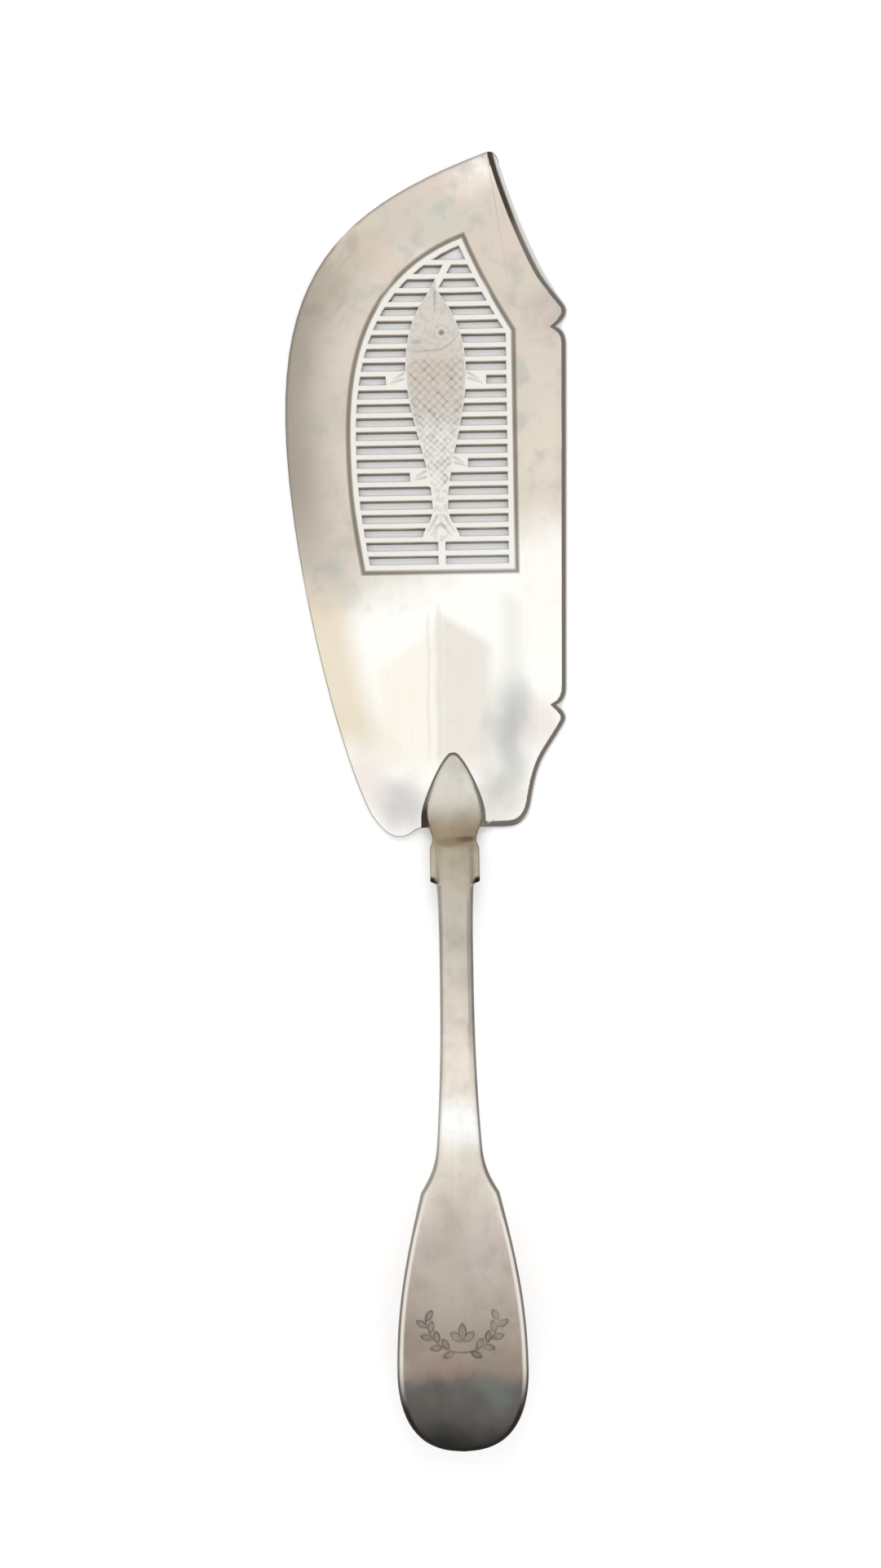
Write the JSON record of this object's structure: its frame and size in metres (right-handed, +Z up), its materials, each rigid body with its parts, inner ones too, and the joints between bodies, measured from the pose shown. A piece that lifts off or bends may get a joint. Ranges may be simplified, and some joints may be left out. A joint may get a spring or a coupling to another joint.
{
  "type": "fish slice",
  "caption": "Flat pierced serving blade with drain slots round a fish figure, soldered to a cranked fiddle-shaped handle, for lifting and serving cooked fish.",
  "frame": {"origin": "on the blade's flat underside, straight below the middle of the handle's heel", "axes": "+Y along the handle's axis towards the blade's tip, +X towards the blade's straight spine, +Z up out of the engraved face"},
  "size_m": [0.0662, 0.3002, 0.023],
  "materials": {
    "aged_silver": "polished, tarnished and finely scratched",
    "worn_silver": "worn satin with warm tarnish",
    "dark_solder": "dark oxidised"
  },
  "bodies": {
    "root": {"blade": "aged_silver", "handle": "worn_silver", "heel_solder": "dark_solder"}
  },
  "joints": []
}
